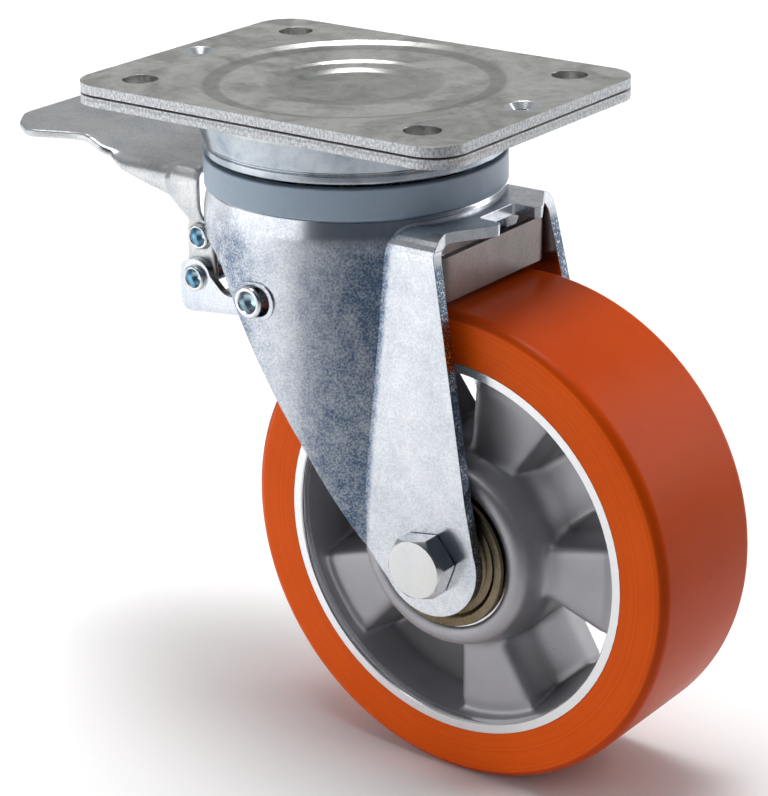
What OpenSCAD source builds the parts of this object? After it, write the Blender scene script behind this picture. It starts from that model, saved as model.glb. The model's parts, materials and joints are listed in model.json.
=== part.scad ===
// Swivel castor with a leading brake pedal.
// Millimetres. The origin is the centre of the top plate's upper face, on the swivel axis.
// +Z is up, the wheel trails towards +X and its axle lies along Y.

/* [Plates] */
// Length of the plates, along the trail
plate_l = 140; // [134:1:150]
// Width of the plates
plate_w = 104; // [100:1:112]
// Thickness of the upper plate
plate_t = 3.3; // [3:0.1:3.5]
// Radius of the plates' corners
plate_corner_r = 11; // [8:1:14]
// Bolt hole spacing along the trail
hole_dx = 105; // [100:1:110]
// Bolt hole spacing across
hole_dy = 75; // [72:1:80]
// Radius of a bolt hole
hole_r = 5.5; // [4.5:0.25:5.75]
// Distance of each plate rivet from the swivel axis
rivet_x = 61; // [58:0.5:62]

/* [Swivel head] */
// Outer radius of the drawn bowl at the plate
bowl_top_r = 49.6; // [49:0.1:50.5]
// Radius of the main ball race
race_r = 37; // [36.5:0.1:37.5]
// Radius of a main race ball
ball_r = 6; // [5.9:0.05:6]
// Number of balls in the main race
ball_count = 16; // [12:1:17]
// Outer radius of the seal ring
seal_r = 46.4; // [46:0.1:46.6]
// Number of teeth that stop the swivel
lock_teeth = 24; // [24:12:24]

/* [Fork] */
// Outer radius of the fork's drawn hood
hood_r = 46.7; // [46.5:0.1:47.2]
// Thickness of the fork's sheet
fork_t = 3.5; // [3.3:0.1:3.6]
// Half the outer width of the fork at its crown
crown_half = 31.7; // [31.5:0.1:32]
// Half the outer width of the fork at the axle
axle_half = 36.5; // [36.3:0.1:37]
// Radius of the fork's round foot about the axle
foot_r = 17.5; // [17:0.5:19]

/* [Wheel] */
// Trail, from the swivel axis to the axle
trail = 52; // [51:0.5:53]
// Depth of the axle under the top face
axle_z = -132.5; // [-133:0.5:-132]
// Radius of the wheel
wheel_r = 75; // [74:0.5:75]
// Width of the wheel
wheel_w = 50; // [46:1:50]
// Outer radius of the cast core
core_r = 60.1; // [59:0.1:61]
// Radius of the tread's edges
tread_edge_r = 3.5; // [2:0.5:5]
// Number of spokes
spokes = 5; // [4:1:6]

/* [Brake] */
// Distance of the pedal's tip from the swivel axis
pedal_tip_x = 123; // [118:0.5:126]
// Half the width of the paddle
paddle_half = 31; // [29:0.5:33]
// Travel of the brake slide, at the pedal's full stroke
slide_travel = 2.4; // [2.2:0.1:2.5]

/* [Hidden] */
$fn = 96;

// Levels of the swivel head, from the top face down
lower_plate_z = -plate_t;
bowl_plate_t = 3.2;
seam_h = 0.3;
seam_in = 0.7;
bowl_floor_top = -16.9;
bowl_floor = -20.3;
seal_top = -21.6;
crown_top = -31;
crown_under = crown_top - fork_t;
flange_top = -33;
fold_z = -39;
straight_z = -112;
main_ball_z = (bowl_floor + crown_top) / 2;
small_ball_r = 4;
small_race_r = 20;
small_ball_count = 13;
small_ball_z = crown_under - 3.45;
lower_race_top = -41.4;
lower_race_r = 25.5;
lock_top = -45;
lock_under = -49;
lock_tip_r = 24;
lock_root_r = 20.6;
nut_under = -58;
kingpin_r = 10;
groove_play = 0.05;

// Points of the brake linkage, in the plane of the fork's side view
pedal_pivot = [-39.8, -49.8];
link_pivot = [-39.9, -62.4];
slide_pivot = [-3.9, -58.4];
pin_r = 3.5;
rivet_head_r = 4;
stub_r = 4;

// Layers of the brake across the fork, as half widths
hanger_in = 22.6;
hanger_out = 25;
brake_in = 25.5;
brake_out = 27.9;
link_in = 28.2;
link_out = 30.6;

// Bearings and hub
bearing_in = 15;
bearing_out = 29;
bearing_r = 23.5;
bearing_bore_r = 10;
bearing_pitch_r = 16.7;
bearing_ball_r = 3.97;
bearing_ball_count = 8;
inner_ring_r = 14.3;
outer_ring_r = 19;
bolt_r = 6;
leg_inside = axle_half - fork_t;
hex_corner_r = 18 / sqrt(3);
hex_turn = 9.3;

function xy(p) = [p.x, p.y];
function unit(v) = v / norm(v);

// Points that round the corner q between the points p and s to radius r
function corner(p, q, s, r) =
    r == 0 ? [q] :
    let (
        n = r < 2.5 ? 5 : 8,
        a = unit(p - q),
        b = unit(s - q),
        half = acos(a * b) / 2,
        c = q + unit(a + b) * r / sin(half),
        u = q + a * r / tan(half) - c,
        v = q + b * r / tan(half) - c,
        start = atan2(u.y, u.x),
        turn = atan2(u.x * v.y - u.y * v.x, u * v)
    )
    [for (i = [0 : n]) c + r * [cos(start + turn * i / n), sin(start + turn * i / n)]];

// A closed outline whose points are [x, y, corner radius]
function rounded(pts) =
    let (m = len(pts))
    [for (i = [0 : m - 1])
        each corner(xy(pts[(i + m - 1) % m]), xy(pts[i]), xy(pts[(i + 1) % m]), pts[i].z)];

// The same outline on the other side of the X axis, joined to the first
function both_sides(half) =
    concat(half, [for (i = [len(half) - 1 : -1 : 0]) [half[i].x, -half[i].y, half[i].z]]);

// Extrudes an outline drawn in X and Z from y0 to y1
module along_y(y0, y1) {
    translate([0, y1, 0])
        rotate([90, 0, 0])
            linear_extrude(y1 - y0) children();
}

// Extrudes an outline drawn in X and Z on both sides, between two half widths
module on_both_sides(inside, outside) {
    along_y(inside, outside) children();
    along_y(-outside, -inside) children();
}

module pin(at, r, y0, y1) {
    along_y(y0, y1) translate(at) circle(r);
}

// A round solid about the wheel's axle, drawn as [radius, place along Y]
module about_axle() {
    translate([trail, 0, axle_z])
        rotate([-90, 0, 0])
            rotate_extrude() children();
}

// Places children at equal turns about the swivel axis
module around(count, first = 0) {
    for (i = [0 : count - 1])
        rotate(first + 360 / count * i) children();
}

module plate_outline(inset = 0) {
    in_x = plate_l / 2 - plate_corner_r;
    in_y = plate_w / 2 - plate_corner_r;
    square([plate_l - 2 * inset, 2 * in_y], center = true);
    square([2 * in_x, plate_w - 2 * inset], center = true);
    for (x = [-in_x, in_x], y = [-in_y, in_y])
        translate([x, y]) circle(plate_corner_r - inset);
}

module bolt_holes() {
    for (x = [-1, 1], y = [-1, 1])
        translate([x * hole_dx / 2, y * hole_dy / 2]) circle(hole_r);
}

module rivet_holes(r) {
    for (x = [-rivet_x, rivet_x])
        translate([x, 0]) circle(r);
}

// The upper plate, with a stepped round recess pressed into its middle
module top_plate() {
    recess_r = 48.5;
    color("lightgray") {
        difference() {
            union() {
                translate([0, 0, -plate_t]) linear_extrude(plate_t - 1) plate_outline(seam_in);
                translate([0, 0, seam_h - plate_t]) linear_extrude(plate_t - seam_h) plate_outline();
            }
            translate([0, 0, -plate_t - 1])
                linear_extrude(plate_t + 2) {
                    bolt_holes();
                    rivet_holes(4);
                    circle(recess_r);
                }
            for (x = [-rivet_x, rivet_x])
                translate([x, 0, -1.6]) cylinder(h = 1.61, r1 = 4, r2 = 5.61);
        }
        rotate_extrude()
            polygon([
                [0, -3.2], [18.6, -3.2], [20.6, -2.2], [26.6, -2.2], [27.6, -1.5],
                [43.6, -1.5], [45.6, -1.1], [47.6, 0], [recess_r, 0],
                [recess_r, -plate_t], [46.2, -plate_t], [43.4, -plate_t - 1.5],
                [27.2, -plate_t - 1.5], [25.6, -plate_t - 2.2], [20, -plate_t - 2.2],
                [18, -plate_t - 3.2], [0, -plate_t - 3.2]
            ]);
    }
}

// The lower plate and the bowl drawn from it, whose floor holds the main race
module head_plate() {
    under = lower_plate_z - bowl_plate_t;
    wall_r = bowl_top_r - 0.4;
    color("lightgray") {
        difference() {
            union() {
                translate([0, 0, under]) linear_extrude(bowl_plate_t - seam_h) plate_outline();
                translate([0, 0, under + 1]) linear_extrude(bowl_plate_t - 1) plate_outline(seam_in);
            }
            translate([0, 0, under - 1])
                linear_extrude(bowl_plate_t + 2) {
                    bolt_holes();
                    rivet_holes(4);
                    circle(52);
                }
        }
        difference() {
            rotate_extrude()
                polygon(rounded([
                    [52, lower_plate_z, 0], [52, under, 0], [wall_r, under, 1.6],
                    [46.3, -16.6, 0], [45.8, -17.3, 0.4], [46.5, -17.7, 0.5],
                    [46.5, bowl_floor, 1], [14, bowl_floor, 0], [14, bowl_floor_top, 0],
                    [42.9, bowl_floor_top, 2], [46.4, lower_plate_z, 1.2]
                ]));
            rotate_extrude()
                translate([race_r, main_ball_z]) circle(ball_r + groove_play);
        }
    }
}

// Two hollow rivets that hold the plates together
module plate_rivets() {
    color("whitesmoke")
        for (x = [-rivet_x, rivet_x])
            translate([x, 0, 0])
                rotate_extrude($fn = 48)
                    polygon([
                        [0, -4.4], [1.8, -4.2], [2.7, -3], [3.1, -1.8], [4.6, -0.1],
                        [5.5, -0.1], [4, -1.6], [4, -6.5], [5.8, -6.5], [5.8, -7.3],
                        [4.6, -8], [0, -8]
                    ]);
}

// The headed pin that holds the fork up, clamped in the bowl's floor
module kingpin() {
    step_r = kingpin_r + 1;
    color("gray")
        rotate_extrude()
            polygon([
                [0, -11.6], [20.5, -11.6], [22, -13], [22, bowl_floor_top],
                [14, bowl_floor_top], [14, bowl_floor], [step_r, bowl_floor],
                [step_r, lower_race_top], [kingpin_r, lower_race_top],
                [kingpin_r, nut_under - 1], [kingpin_r - 1.2, nut_under - 2.2],
                [0, nut_under - 2.2]
            ]);
}

module kingpin_nut() {
    corner_r = 30 / sqrt(3);
    color("gray")
        difference() {
            intersection() {
                translate([0, 0, nut_under])
                    cylinder(h = lock_under - nut_under, r = corner_r, $fn = 6);
                translate([0, 0, nut_under])
                    cylinder(h = 5, r1 = corner_r - 2.2, r2 = corner_r + 2.8);
            }
            translate([0, 0, nut_under - 1]) cylinder(h = 12, r = kingpin_r);
        }
    color("gray")
        difference() {
            translate([0, 0, nut_under + 4.9])
                cylinder(h = lock_under - nut_under - 4.9, r = corner_r, $fn = 6);
            translate([0, 0, nut_under]) cylinder(h = 12, r = kingpin_r);
        }
}

// The small race under the fork's crown
module lower_race() {
    color("darkgray")
        difference() {
            rotate_extrude()
                polygon([
                    [kingpin_r, lower_race_top], [24, lower_race_top],
                    [lower_race_r, lower_race_top - 1.2], [lower_race_r, lock_top],
                    [kingpin_r, lock_top]
                ]);
            rotate_extrude()
                translate([small_race_r, small_ball_z]) circle(small_ball_r + groove_play);
        }
}

// The toothed ring that the pawl drops into
module lock_ring() {
    gap_w = 3.4;
    color("dimgray")
        translate([0, 0, lock_under])
            linear_extrude(lock_top - lock_under)
                difference() {
                    circle(lock_tip_r);
                    circle(kingpin_r);
                    around(lock_teeth)
                        translate([lock_root_r, -gap_w / 2]) square([6, gap_w]);
                }
}

module ball_set(count, pitch_r, r, z) {
    color("silver")
        around(count)
            translate([pitch_r, 0, z]) sphere(r, $fn = 32);
}

module ball_cage(count, pitch_r, r, z, inner_r, outer_r, half_h) {
    color("darkgoldenrod")
        translate([0, 0, z - half_h])
            linear_extrude(2 * half_h)
                difference() {
                    circle(outer_r);
                    circle(inner_r);
                    around(count)
                        translate([pitch_r, 0]) circle(r + 0.05);
                }
}

module upper_balls() {
    ball_set(ball_count, race_r, ball_r, main_ball_z);
}

module upper_cage() {
    ball_cage(ball_count, race_r, ball_r, main_ball_z, 28, 40, 1.9);
}

module lower_balls() {
    ball_set(small_ball_count, small_race_r, small_ball_r, small_ball_z);
}

module lower_cage() {
    ball_cage(small_ball_count, small_race_r, small_ball_r, small_ball_z, 14.8, 25.2, 1.2);
}

// Half the fork's section over the wheel: a flat crown folded into a leaning leg
function half_section(inset, fold_r) =
    let (
        top = flange_top - inset,
        lean = (axle_half - crown_half) / (fold_z - straight_z)
    )
    [
        [-crown_half + inset + lean * (flange_top - fold_z), top, fold_r],
        [-axle_half + inset, straight_z, 0],
        [-axle_half + inset, -160, 0]
    ];

module section_prism(inset, fold_r) {
    half = half_section(inset, fold_r);
    rotate([90, 0, 90])
        linear_extrude(80)
            polygon(rounded(concat(
                half,
                [for (i = [len(half) - 1 : -1 : 0]) [-half[i].x, half[i].y, half[i].z]]
            )));
}

// A round cup over the wheel, open below
module hood_cup(r, top, edge_r, shoulder_in) {
    rotate_extrude()
        polygon(rounded([
            [0, top, 0], [r - shoulder_in, top, edge_r], [r, top - 7, shoulder_in > 0 ? 22 : 0],
            [r, -160, 0], [0, -160, 0]
        ]));
}

// Side view of the fork below the crown
module fork_side() {
    polygon(rounded([
        [-60, -36, 0], [-60, -43.8, 0], [-38, -43.8, 0], [-20, -48.5, 14], [12, -101, 40],
        [28.5, -131.8, 0], [33.6, -138.2, 0], [38.4, -143, 0], [trail, axle_z, 0],
        [69, -129.3, 0], [51.5, fold_z, 0], [51.5, -36, 0]
    ]));
    translate([trail, axle_z]) circle(foot_r);
}

// Plan of the crown, with its notched flange over the wheel
module crown_plan() {
    polygon(rounded(both_sides([
        [-60, -60, 0], [51.6, -60, 0], [51.6, -crown_half + 6, 0], [60.4, -11.2, 1.4],
        [59.4, -9.2, 0.8], [51.6, -8.8, 1]
    ])));
}

module slide_slot(r) {
    translate(slide_pivot) circle(r);
    translate(slide_pivot + [slide_travel, 0.2]) circle(r);
    translate(slide_pivot - [0, r]) square([slide_travel, 2 * r]);
}

// The fork, pressed from one sheet: crown, round hood and two legs
module fork() {
    inner_r = hood_r - fork_t;
    color("silver")
        difference() {
            union() {
                intersection() {
                    difference() {
                        union() {
                            hood_cup(hood_r + 0.1, crown_top, 1, 1.3);
                            section_prism(0, 8.5);
                        }
                        hood_cup(inner_r, crown_under, 0.8, 0);
                        section_prism(fork_t, 8.5 - fork_t);
                    }
                    union() {
                        along_y(-60, 60) fork_side();
                        translate([0, 0, -38]) linear_extrude(20) crown_plan();
                    }
                }
                for (side = [0, 1])
                    mirror([0, side, 0])
                        along_y(-hood_r - 0.6, -inner_r - 0.4) slide_slot(6);
            }
            translate([0, 0, -60]) cylinder(h = 40, r = kingpin_r + 2);
            rotate_extrude()
                translate([race_r, main_ball_z]) circle(ball_r + groove_play);
            rotate_extrude()
                translate([small_race_r, small_ball_z]) circle(small_ball_r + groove_play);
            along_y(-60, 60) slide_slot(4.6);
            pin([trail, axle_z], bolt_r + 0.25, -60, 60);
        }
}

module seal_ring() {
    color("slategray")
        rotate_extrude()
            polygon([
                [43.2, crown_top], [seal_r - 0.3, crown_top], [seal_r, crown_top + 0.3],
                [seal_r, seal_top - 0.3], [seal_r - 0.3, seal_top], [43.2, seal_top]
            ]);
}

// Two ears under the front of the crown, which carry the pedal
module pedal_hanger() {
    eye_r = 5;
    color("silver") {
        on_both_sides(hanger_in, hanger_out)
            difference() {
                union() {
                    translate(pedal_pivot) circle(eye_r);
                    polygon(rounded([
                        [-43.4, -46, 0], [-35.6, -45.8, 0], [-34.2, -44.6, 0],
                        [-34.2, crown_under, 0], [-26.5, crown_under, 0], [-26.5, -38, 2],
                        [-31.4, -44.6, 2], [-35.6, -51.6, 0], [-39.8, -50, 0]
                    ]));
                }
                translate(pedal_pivot) circle(pin_r);
            }
        translate([-34.2, -hanger_in - 0.4, crown_under - 2.4])
            cube([6.4, 2 * hanger_in + 0.8, 2.4]);
    }
}

// A hollow rivet across the fork: a shank, two heads and bored ends
module rivet(at, shank_half, head_half, head_r) {
    difference() {
        union() {
            pin(at, pin_r, -head_half, head_half);
            translate([at.x, 0, at.y])
                for (side = [-1, 1])
                    rotate([90 * side, 0, 0])
                        translate([0, 0, shank_half])
                            rotate_extrude($fn = 48)
                                polygon([
                                    [0, 0], [head_r, 0], [head_r, 0.8],
                                    [head_r - 0.4, head_half - shank_half],
                                    [0, head_half - shank_half]
                                ]);
        }
        for (y = [-head_half - 1, head_half - 4])
            pin(at, 2.85, y, y + 5);
    }
}

module pedal_pin() {
    color("lightsteelblue")
        rivet(pedal_pivot, brake_out, brake_out + 1.5, rivet_head_r);
}

module link_pin() {
    color("tan")
        rivet(link_pivot, link_out, link_out + 1.5, rivet_head_r);
}

// Two stub rivets at the fork's side slots, one on each side
module slide_pins() {
    head_out = 49.3;
    color("lightsteelblue")
        for (side = [0, 1])
            mirror([0, side, 0])
                translate([slide_pivot.x, -24.3, slide_pivot.y])
                    rotate([90, 0, 0])
                        rotate_extrude($fn = 48)
                            polygon([
                                [0, 0], [5.2, 0], [5.2, brake_in - 24.3], [stub_r, brake_in - 24.3],
                                [stub_r, 23.1], [4.9, 23.1], [4.9, 24.3], [4.5, head_out - 24.3],
                                [3.7, head_out - 24.3], [3.3, 24.3], [3.1, 20.4], [0, 20.4]
                            ]);
}

// The upper face of the pedal's sheet, from the tip to the hood
paddle_z = -25;
pedal_web_z = -29.6;
pedal_t = 2.8;
ramp_start = -89;
ramp_end = -74;
function paddle_top(x) =
    x < ramp_start ? paddle_z :
    x > ramp_end ? pedal_web_z :
    (paddle_z + pedal_web_z) / 2
        + (paddle_z - pedal_web_z) / 2 * cos(180 * (x - ramp_start) / (ramp_end - ramp_start));
paddle_xs = [-130, for (i = [0 : 8]) ramp_start + (ramp_end - ramp_start) * i / 8, -66];

module pedal_sheet() {
    intersection() {
        along_y(-40, 40)
            polygon(concat(
                [for (x = paddle_xs) [x, paddle_top(x)]],
                [for (i = [len(paddle_xs) - 1 : -1 : 0]) [paddle_xs[i], paddle_top(paddle_xs[i]) - pedal_t]]
            ));
        translate([0, 0, -60])
            linear_extrude(60)
                polygon(rounded(both_sides([
                    [-62, -22, 0], [-74, -22, 5], [-81, -26.8, 5], [-91, -26, 12],
                    [-107.4, -paddle_half - 1.2, 4], [-116.4, -26.2, 10], [-pedal_tip_x, -17.2, 5]
                ])));
    }
}

// The channel behind the paddle, with its two side cheeks
module pedal_channel() {
    fold_r = 5.5;
    difference() {
        intersection() {
            translate([-80, 0, 0])
                rotate([90, 0, 90])
                    linear_extrude(50)
                        polygon(rounded([
                            [-brake_out, -80, 0], [-brake_out, pedal_web_z, fold_r],
                            [brake_out, pedal_web_z, fold_r], [brake_out, -80, 0],
                            [brake_in, -80, 0], [brake_in, pedal_web_z - pedal_t, 2.9],
                            [-brake_in, pedal_web_z - pedal_t, 2.9], [-brake_in, -80, 0]
                        ]));
            along_y(-40, 40)
                union() {
                    polygon(rounded([
                        [-79, pedal_web_z + 5, 0], [-39.8, pedal_web_z + 5, 0],
                        [-39.8, pedal_pivot.y, 0], [-34.7, -51.4, 0], [-34.1, -61.4, 0],
                        [-39.9, -62.4, 0], [-45.5, -61.4, 0], [-45.5, -50, 0], [-44.8, -45.4, 1],
                        [-48.4, -41.8, 3], [-51.9, -39, 5], [-63.6, -36.2, 12], [-71.3, -34, 10],
                        [-79, -30.6, 0]
                    ]));
                    translate(pedal_pivot) circle(5.5);
                    translate(link_pivot) circle(5.7);
                }
        }
        translate([0, 0, -44.6]) cylinder(h = 40, r = hood_r + 1.6);
    }
}

module pedal() {
    color("silver")
        difference() {
            union() {
                pedal_sheet();
                pedal_channel();
            }
            pin(pedal_pivot, pin_r + 0.05, -40, 40);
            pin(link_pivot, pin_r, -40, 40);
        }
}

// The bracket that joins the pedal's cheeks to the brake slide
module link_bracket() {
    t = link_out - link_in;
    color("silver")
        difference() {
            intersection() {
                translate([-46, 0, -75.3])
                    rotate([90, 0, 90])
                        rotate([-6.4, 0, 0])
                            translate([0, 0, -10])
                                linear_extrude(80)
                                    polygon(rounded([
                                        [-link_out, 40, 0], [-link_out, 0, 3.4], [link_out, 0, 3.4],
                                        [link_out, 40, 0], [link_in, 40, 0], [link_in, t, 1],
                                        [-link_in, t, 1], [-link_in, 40, 0]
                                    ]));
                along_y(-40, 40)
                    union() {
                        polygon(rounded([
                            [-39.9, -56.6, 0], [-45.8, -57.4, 4], [-46.4, -76, 6], [-22, -73.4, 2],
                            [-18, -66.8, 3], [-3.9, -64.6, 0], [-3.9, -58.4, 0], [-12, -63.8, 3],
                            [-28.2, -66.6, 6], [-34.6, -60.6, 5]
                        ]));
                        translate(link_pivot) circle(5.9);
                        translate(slide_pivot) circle(6.2);
                    }
            }
            pin(link_pivot, pin_r + 0.05, -40, 40);
            pin(slide_pivot, stub_r + 0.25, -40, 40);
        }
}

// The bow that slides in the fork: two cheeks joined by a wall over the wheel
module brake_bow() {
    wall_x = 51.5;
    color("gainsboro")
        difference() {
            intersection() {
                translate([0, 0, -90])
                    linear_extrude(60)
                        polygon(rounded(both_sides([
                            [wall_x, -brake_out, 4.5], [-31, -brake_out, 0], [-31, -brake_in, 0],
                            [wall_x - 2.4, -brake_in, 2.1]
                        ])));
                along_y(-40, 40)
                        polygon(rounded([
                            [wall_x + 1, -41, 0], [wall_x + 1, -54.8, 0], [44, -54.8, 3],
                            [38, -59.5, 3], [4, -60.5, 3], [-1.6, -71, 2], [-4, -84, 0],
                            [-12.5, -84, 2], [-12.5, -64, 3], [-17, -56, 3], [-31.5, -50.6, 0],
                            [-31.5, -45.4, 0], [-26, -45.4, 2], [-23, -49.6, 2], [40, -49.6, 3],
                            [43, -41, 2]
                        ]));
            }
            pin(slide_pivot, stub_r, -40, 40);
        }
}

// The curved shoe that meets the tread, held between the bow's cheeks
module brake_shoe() {
    face_r = wheel_r + 0.3;
    color("gray")
        intersection() {
            along_y(-brake_in, brake_in)
                translate([trail - slide_travel, axle_z])
                    difference() {
                        circle(face_r + 4);
                        circle(face_r);
                    }
            along_y(-brake_in, brake_in)
                polygon([[-12.4, -65], [-12.4, -83.8], [-4.4, -83.8], [-1.8, -71.4], [-3.4, -65]]);
        }
}

// The plate whose tooth drops into the toothed ring
module lock_pawl() {
    tooth_w = 2;
    color("gray")
        translate([0, 0, -49.4])
            linear_extrude(3.8) {
                translate([-30.6, -brake_in]) square([2.4, 2 * brake_in]);
                polygon([
                    [-28.3, -1.5], [-24.7, -tooth_w / 2], [-24.7, tooth_w / 2], [-28.3, 1.5]
                ]);
            }
}

// A hexagon head about the axle, chamfered on its outer face
module hex_head(y0, y1, chamfer_out) {
    h = y1 - y0;
    translate([trail, chamfer_out ? y1 : y0, axle_z])
        rotate([chamfer_out ? 90 : -90, 0, 0])
            intersection() {
                rotate(chamfer_out ? hex_turn : -hex_turn)
                    cylinder(h = h, r = hex_corner_r, $fn = 6);
                cylinder(h = h, r1 = hex_corner_r + h - 1.5, r2 = hex_corner_r - 1.5);
            }
}

module axle_bolt() {
    color("gainsboro") {
        hex_head(-axle_half - 7.5, -axle_half - 0.5, true);
        pin([trail, axle_z], 8.6, -axle_half - 1, -axle_half);
        pin([trail, axle_z], bolt_r, -axle_half - 2, 49.5);
    }
}

module axle_nut() {
    color("gainsboro")
        difference() {
            union() {
                hex_head(axle_half, axle_half + 8.5, false);
                pin([trail, axle_z], 8, axle_half + 7, axle_half + 11);
            }
            pin([trail, axle_z], bolt_r, 30, 60);
        }
}

module axle_tube() {
    color("gray")
        about_axle()
            translate([bolt_r + 0.1, -leg_inside]) square([bearing_bore_r - bolt_r - 0.1, 2 * leg_inside]);
}

// A dished cap between a leg and its bearing, with a spacer collar
module dust_cap() {
    color("darkgoldenrod")
        about_axle()
            polygon([
                [bearing_bore_r, bearing_out], [13.6, bearing_out], [13.8, 29.9], [19.2, 29.5],
                [20.4, 30.3], [22, 30.3], [22.4, 29.8], [22.9, 30], [22.6, 31], [20.2, 31],
                [19, 30.2], [17, 30.8], [15.4, 32.2], [14.4, leg_inside],
                [bearing_bore_r, leg_inside]
            ]);
}

module dust_cap_near() {
    mirror([0, 1, 0]) dust_cap();
}

module dust_cap_far() {
    dust_cap();
}

module bearing_ring(r0, r1) {
    color("silver")
        for (side = [0, 1])
            mirror([0, side, 0])
                about_axle()
                    difference() {
                        translate([r0, bearing_in]) square([r1 - r0, bearing_out - bearing_in]);
                        translate([bearing_pitch_r, (bearing_in + bearing_out) / 2])
                            circle(bearing_ball_r + groove_play);
                    }
}

module bearing_inner_rings() {
    bearing_ring(bearing_bore_r, inner_ring_r);
}

module bearing_outer_rings() {
    bearing_ring(outer_ring_r, bearing_r);
}

// Places children at a bearing ball's place, on both bearings
module at_bearing_balls() {
    for (side = [-1, 1])
        translate([trail, side * (bearing_in + bearing_out) / 2, axle_z])
            for (i = [0 : bearing_ball_count - 1])
                rotate([0, 360 / bearing_ball_count * i, 0])
                    translate([bearing_pitch_r, 0, 0]) children();
}

module bearing_balls() {
    color("silver")
        at_bearing_balls() sphere(bearing_ball_r, $fn = 32);
}

module bearing_cages() {
    half_w = 5.2;
    middle = (bearing_in + bearing_out) / 2;
    color("darkgoldenrod")
        difference() {
            for (side = [0, 1])
                mirror([0, side, 0])
                    about_axle()
                        translate([bearing_pitch_r - 1, middle - half_w]) square([2, 2 * half_w]);
            at_bearing_balls()
                rotate([0, 90, 0]) cylinder(h = 10, r = bearing_ball_r + 0.05, center = true, $fn = 32);
        }
}

// Thin side shields on the bearings' outer faces
module bearing_shields() {
    color("dimgray")
        for (side = [0, 1])
            mirror([0, side, 0])
                about_axle()
                    translate([inner_ring_r + 0.3, bearing_out - 1.1])
                        square([outer_ring_r - inner_ring_r - 0.3, 0.7]);
}

// One spoke, widening towards the rim, its flanks drafted from both faces
module spoke() {
    near = 5.9;
    far = 14.7;
    half_d = 19.7;
    translate([trail, 0, axle_z])
        rotate([90, 0, 0]) {
            linear_extrude(2 * half_d, center = true)
                polygon([[26, -near], [58, -far], [58, far], [26, near]]);
            for (side = [0, 1])
                mirror([0, side, 0])
                    translate([26, near, 0])
                        rotate(atan2(far - near, 32))
                            rotate([90, 0, 90])
                                linear_extrude(33.1)
                                    polygon([
                                        [-0.15, half_d - 0.2], [2.2, 7], [2.2, -7],
                                        [-0.15, 0.2 - half_d], [-3, -15], [-3, 15]
                                    ]);
        }
}

// The cast core: hub, spokes and rim, with a bonded tread
module wheel_core() {
    half_w = wheel_w / 2;
    face = bearing_out + 0.6;
    lip_r = 57.2;
    spoke_start = -3;
    color("darkgray") {
        difference() {
            union() {
                about_axle()
                    polygon(rounded(concat(
                        [[bearing_r, bearing_out - 0.1, 0], [24.4, face, 0.3], [28.7, face, 1.4],
                         [29.6, 24, 3], [31.8, 17, 4]],
                        [[31.8, -17, 4], [29.6, -24, 3], [28.7, -face, 1.4], [24.4, -face, 0.3],
                         [bearing_r, 0.1 - bearing_out, 0]],
                        [[bearing_r, -bearing_in, 0], [21, -bearing_in, 0],
                         [21, bearing_in, 0], [bearing_r, bearing_in, 0]]
                    )));
                about_axle()
                    polygon(rounded([
                        [lip_r, half_w, 0.4], [core_r, half_w, 0], [core_r, -half_w, 0],
                        [lip_r, -half_w, 0.4], [56, -20, 2], [53.4, -9, 6], [53.4, 9, 6],
                        [56, 20, 2]
                    ]));
                for (i = [0 : spokes - 1])
                    translate([trail, 0, axle_z])
                        rotate([0, spoke_start * -1 + 360 / spokes * i, 0])
                            translate([-trail, 0, -axle_z]) spoke();
            }
            pin([trail, axle_z], bearing_r, bearing_in, 40);
            pin([trail, axle_z], bearing_r, -40, -bearing_in);
            pin([trail, axle_z], 21, -40, 40);
        }
    }
}

module tread() {
    half_w = wheel_w / 2;
    color("orangered")
        about_axle()
            polygon(rounded([
                [core_r, half_w, 0], [wheel_r, half_w, tread_edge_r],
                [wheel_r, -half_w, tread_edge_r], [core_r, -half_w, 0]
            ]));
}

top_plate();
head_plate();
plate_rivets();
kingpin();
kingpin_nut();
lower_race();
lock_ring();
upper_balls();
upper_cage();
lower_balls();
lower_cage();
fork();
seal_ring();
pedal_hanger();
pedal_pin();
axle_bolt();
axle_nut();
axle_tube();
dust_cap_near();
dust_cap_far();
bearing_inner_rings();
bearing_balls();
bearing_cages();
bearing_outer_rings();
bearing_shields();
wheel_core();
tread();
pedal();
link_pin();
link_bracket();
brake_bow();
brake_shoe();
lock_pawl();
slide_pins();
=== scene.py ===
# Finishes, small added pieces, light and camera for the swivel castor.
import json
import math

import bpy
from bpy.props import FloatProperty, FloatVectorProperty, PointerProperty
from mathutils import Matrix, Vector

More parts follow.
